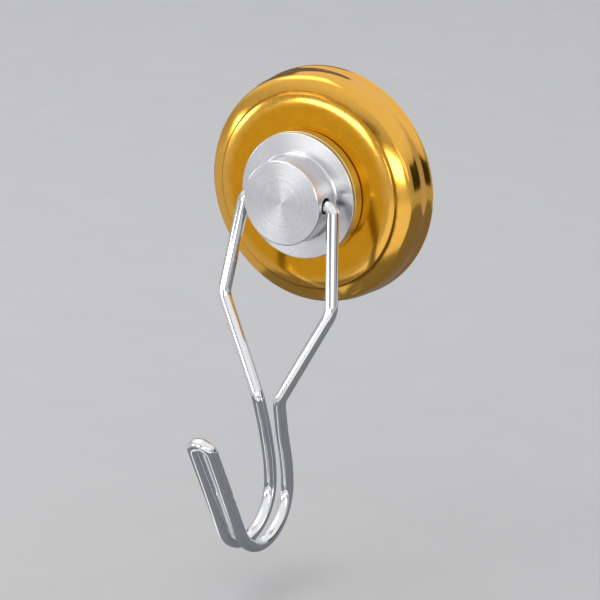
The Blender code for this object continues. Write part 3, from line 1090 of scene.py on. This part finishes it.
def hexagon_key():
    """A hexagon bar with a widening mouth, which cuts the socket and its eased edge."""
    corner = socket_across / math.sqrt(3.0)
    stations = [
        (head_back - socket_mouth, corner + 2 * socket_mouth),
        (head_back + socket_mouth, corner),
        (head_back + socket_depth, corner),
    ]
    outwards, sideways = Vector((0.0, -1.0, 0.0)), Vector((1.0, 0.0, 0.0))
    return cutting_bar("hexagon_key", Vector(), outwards, sideways, stations, sides=6)


screw_steel = turned_metal(
    "screw_steel",
    dark=(0.20, 0.20, 0.215),
    pale=(0.33, 0.33, 0.35),
    low_roughness=0.28,
    high_roughness=0.42,
    pitch=0.00022,
    depth=0.0000015,
    stretch=0.4,
)
thread_count = math.floor((screw_end - thread_begin) / thread_pitch * thread_cuts)
thread_line = [
    (shank_radius, thread_begin + index * thread_pitch / thread_cuts, 0.0)
    for index in range(thread_count)
]
screw_line = [
    (0.0, head_back, 0.0),
    (head_radius, head_back, head_edge),
    (head_radius, head_front, head_edge / 2),
    (shank_radius, head_front, head_root),
    *thread_line,
    (shank_radius, screw_end, head_edge),
    (0.0, screw_end, 0.0),
]
blank = turned("screw_blank", screw_line, screw_steel, closed=False)
carve(blank, [hexagon_key()])
thread_values = {
    "Shank Radius": shank_radius,
    "Begin": thread_begin,
    "End": screw_end,
    "Pitch": thread_pitch,
    "Depth": thread_depth,
    "Ease": thread_ease,
}
screw = run_tree("shoulder_screw", blank.data, threading_tree(), screw_steel, thread_values)
bpy.data.objects.remove(blank)
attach(screw, "swivel_knob")
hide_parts("pivot_screw")


# Spacer: a ring moulded in grey resin. It slips between the magnet and the cover's skirt and
# keeps the magnet in the middle.
spacer_inner = 0.0288
spacer_edge = 0.0004
resin_dark = (0.20, 0.20, 0.215)
resin_pale = (0.27, 0.27, 0.285)
spark_depth = 0.000012


def moulded_resin():
    """Grey resin from a spark-eroded mould: an even fine grain with slow flow clouds."""
    material, tree, shader = new_finish("grey_resin", Specular_IOR_Level=0.4)
    coat = place_group(
        tree, skin, {"Wave Size": 0.0060, "Grain Size": 0.00022, "Grain Share": 1.4}
    )
    feed(tree, mixed(tree, coat["Cloud"], resin_dark, resin_pale), shader, "Base Color")
    feed(tree, ranged(tree, coat["Cloud"], low=0.46, high=0.60), shader, "Roughness")
    bump(tree, shader, coat["Height"], spark_depth)
    return material


spacer = turned(
    "moulded_spacer", ring_corners("spacer_ring", spacer_inner, spacer_edge), moulded_resin()
)
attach(spacer, "base")
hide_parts("spacer_ring")


# Magnet: a ring of pressed and fired ferrite, ground flat on both faces. It is a hard dark
# ceramic that lies under the yoke plate, with the screw's head in its bore.
magnet_bore = 0.0088
magnet_edge = 0.0004
ferrite = grained(
    "ground_ferrite",
    dark=(0.045, 0.045, 0.050),
    pale=(0.085, 0.085, 0.092),
    rough=0.40,
    grain_size=0.00030,
    pit_depth=0.00001,
)
magnet = turned("ferrite_ring", ring_corners("ring_magnet", magnet_bore, magnet_edge), ferrite)
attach(magnet, "base")
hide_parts("ring_magnet")


# Pad: a thin disc of matt black rubber, stuck over the magnet. It is all that touches the wall,
# and keeps the hook from sliding and from marking the paint.
pad_edge = 0.00015
rubber_dark = (0.022, 0.022, 0.023)
rubber_pale = (0.040, 0.040, 0.042)
pebble_depth = 0.00006


def pebbled_rubber():
    """Matt rubber with a fine pebbled grain that is shinier on its high spots."""
    material, tree, shader = new_finish("pebbled_rubber", Specular_IOR_Level=0.35)
    grain = place_group(tree, crystals, {"Grain Size": 0.0007, "Cloud Share": 0.6})
    feed(tree, mixed(tree, grain["Tone"], rubber_dark, rubber_pale), shader, "Base Color")
    feed(tree, ranged(tree, grain["Height"], low=0.85, high=0.60), shader, "Roughness")
    bump(tree, shader, grain["Height"], pebble_depth)
    return material


pad_corners = ring_corners("face_pad", inner_radius=0.0, edge=pad_edge)
pad = turned("rubber_pad", pad_corners, pebbled_rubber(), closed=False)
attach(pad, "base")
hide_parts("face_pad")


# Wire hook: one length of spring wire, bent to a closed-ended hook and chromed. Both ends are
# turned in and sprung into the knob's cross holes, where the hook swings.
pivot = Vector(frame["joints"][1]["pos_m"])
wire_radius = 0.00175
wire_sides = 48
end_gap = 0.0006                         # between the wire's end and the foot of its hole
leg_gap = 0.0003                         # between the wire's leg and the boss
wire_end = boss_radius - hole_depth + end_gap
leg_x = boss_radius + leg_gap + wire_radius
shoulder = Vector((0.0171, -0.0061, -0.0274))
neck = Vector((0.00335, -0.0107, -0.0537))
strand_x = 0.00275
shank_lean = math.radians(14.0)
taper_drop = 0.0095
shank_drop = 0.0262
shank_round = 0.040
hook_round = 0.0130
front_lean = math.radians(26.5)
front_length = 0.0309
pivot_bend = 0.0022
shoulder_bend = 0.0065
neck_bend = 0.0060
taper_bend = 0.0300
wire_step = math.radians(5.0)
chrome_dark = (0.84, 0.85, 0.88)
chrome_pale = (0.89, 0.90, 0.92)
chrome_depth = 0.0000025
die_lines = 4200.0
die_drift = 0.02                         # how much the lines change along the wire, against across
die_share = 0.04                         # the lines' height against the chrome's own waves


def wire_corners():
    """Corners of the right-hand half, as places from the pivot, each with its bend radius."""
    back_slope = math.tan(shank_lean)
    taper = Vector((strand_x, neck.y + taper_drop * back_slope, neck.z - taper_drop))
    upright_drop = shank_drop - shank_round * math.tan(shank_lean / 2)
    upright = Vector((strand_x, neck.y + upright_drop * back_slope, neck.z - upright_drop))
    foot = Vector((strand_x, upright.y, neck.z - shank_drop))

    # The hook's round is one bend between the upright shank and the leaning front leg.
    reach = hook_round * math.tan((math.pi - front_lean) / 2)
    bottom = foot - Vector((0, 0, reach))
    rise = Vector((0, -math.sin(front_lean), math.cos(front_lean)))
    tip = bottom + rise * (reach + front_length + strand_x)
    return [
        (Vector((wire_end, 0, 0)), 0.0),
        (Vector((leg_x, 0, 0)), pivot_bend),
        (shoulder, shoulder_bend),
        (neck, neck_bend),
        (taper, taper_bend),
        (upright, shank_round),
        (bottom, hook_round),
        (tip, strand_x),
    ]


def wire_tree():
    """Sweeps a round section along a bent line and stores each point's place on the wire."""
    tree, given, result = new_tree(
        "wire_along_a_line",
        [
            ("Line", "NodeSocketGeometry"),
            ("Wire Radius", "NodeSocketFloat"),
            ("Sides", "NodeSocketInt"),
            ("Join Distance", "NodeSocketFloat"),
        ],
    )
    line = bent_line(tree, given["Line"])
    along = node(tree, "GeometryNodeSplineParameter").outputs["Length"]
    marked = node(
        tree,
        "GeometryNodeStoreNamedAttribute",
        {"Geometry": line, "Name": "along", "Value": along},
        data_type="FLOAT",
        domain="POINT",
    ).outputs["Geometry"]
    section = node(
        tree,
        "GeometryNodeCurvePrimitiveCircle",
        {"Resolution": given["Sides"], "Radius": given["Wire Radius"]},
    ).outputs["Curve"]
    place = node(tree, "GeometryNodeInputPosition").outputs["Position"]
    marked_section = node(
        tree,
        "GeometryNodeStoreNamedAttribute",
        {"Geometry": section, "Name": "across", "Value": place},
        data_type="FLOAT_VECTOR",
        domain="POINT",
    ).outputs["Geometry"]
    shape = node(
        tree,
        "GeometryNodeCurveToMesh",
        {"Curve": marked, "Profile Curve": marked_section, "Fill Caps": True},
    ).outputs["Mesh"]
    finished_mesh(tree, joined(tree, shape, given["Join Distance"]), given, result)
    return tree


def drawn_chrome():
    """Chrome on drawn wire: a bright mirror that keeps the die's faint lengthwise lines."""
    material, tree, shader = new_finish("bright_chrome", Metallic=1.0)
    across = node(
        tree, "ShaderNodeAttribute", attribute_type="GEOMETRY", attribute_name="across"
    ).outputs["Vector"]
    along = node(
        tree, "ShaderNodeAttribute", attribute_type="GEOMETRY", attribute_name="along"
    ).outputs["Fac"]
    drift = maths(tree, "MULTIPLY", along, die_drift)
    lift = node(tree, "ShaderNodeCombineXYZ", {"Z": drift}).outputs["Vector"]
    place = node(
        tree, "ShaderNodeVectorMath", {"Vector": across, "Vector_001": lift}, operation="ADD"
    ).outputs["Vector"]
    lines = noise(tree, place, die_lines)
    coat = place_group(
        tree, skin, {"Wave Size": 0.0030, "Grain Size": 0.0004, "Grain Share": 0.05}
    )
    feed(tree, mixed(tree, coat["Cloud"], chrome_dark, chrome_pale), shader, "Base Color")
    feed(tree, ranged(tree, lines, low=0.05, high=0.09), shader, "Roughness")
    height = maths(tree, "ADD", coat["Height"], maths(tree, "MULTIPLY", lines, die_share))
    bump(tree, shader, height, chrome_depth)
    return material


right_half = wire_corners()
left_half = [(Vector((-place.x, place.y, place.z)), bend) for place, bend in right_half[::-1]]
wire_line = [(*(pivot + place), bend) for place, bend in right_half + left_half]
wire_path = chain_mesh("wire", wire_line, closed=False, step=wire_step)
wire_values = {"Wire Radius": wire_radius, "Sides": wire_sides, "Join Distance": join_distance}
wire = run_tree("chromed_wire_hook", wire_path, wire_tree(), drawn_chrome(), wire_values)
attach(wire, "hook")
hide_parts("wire_hook")
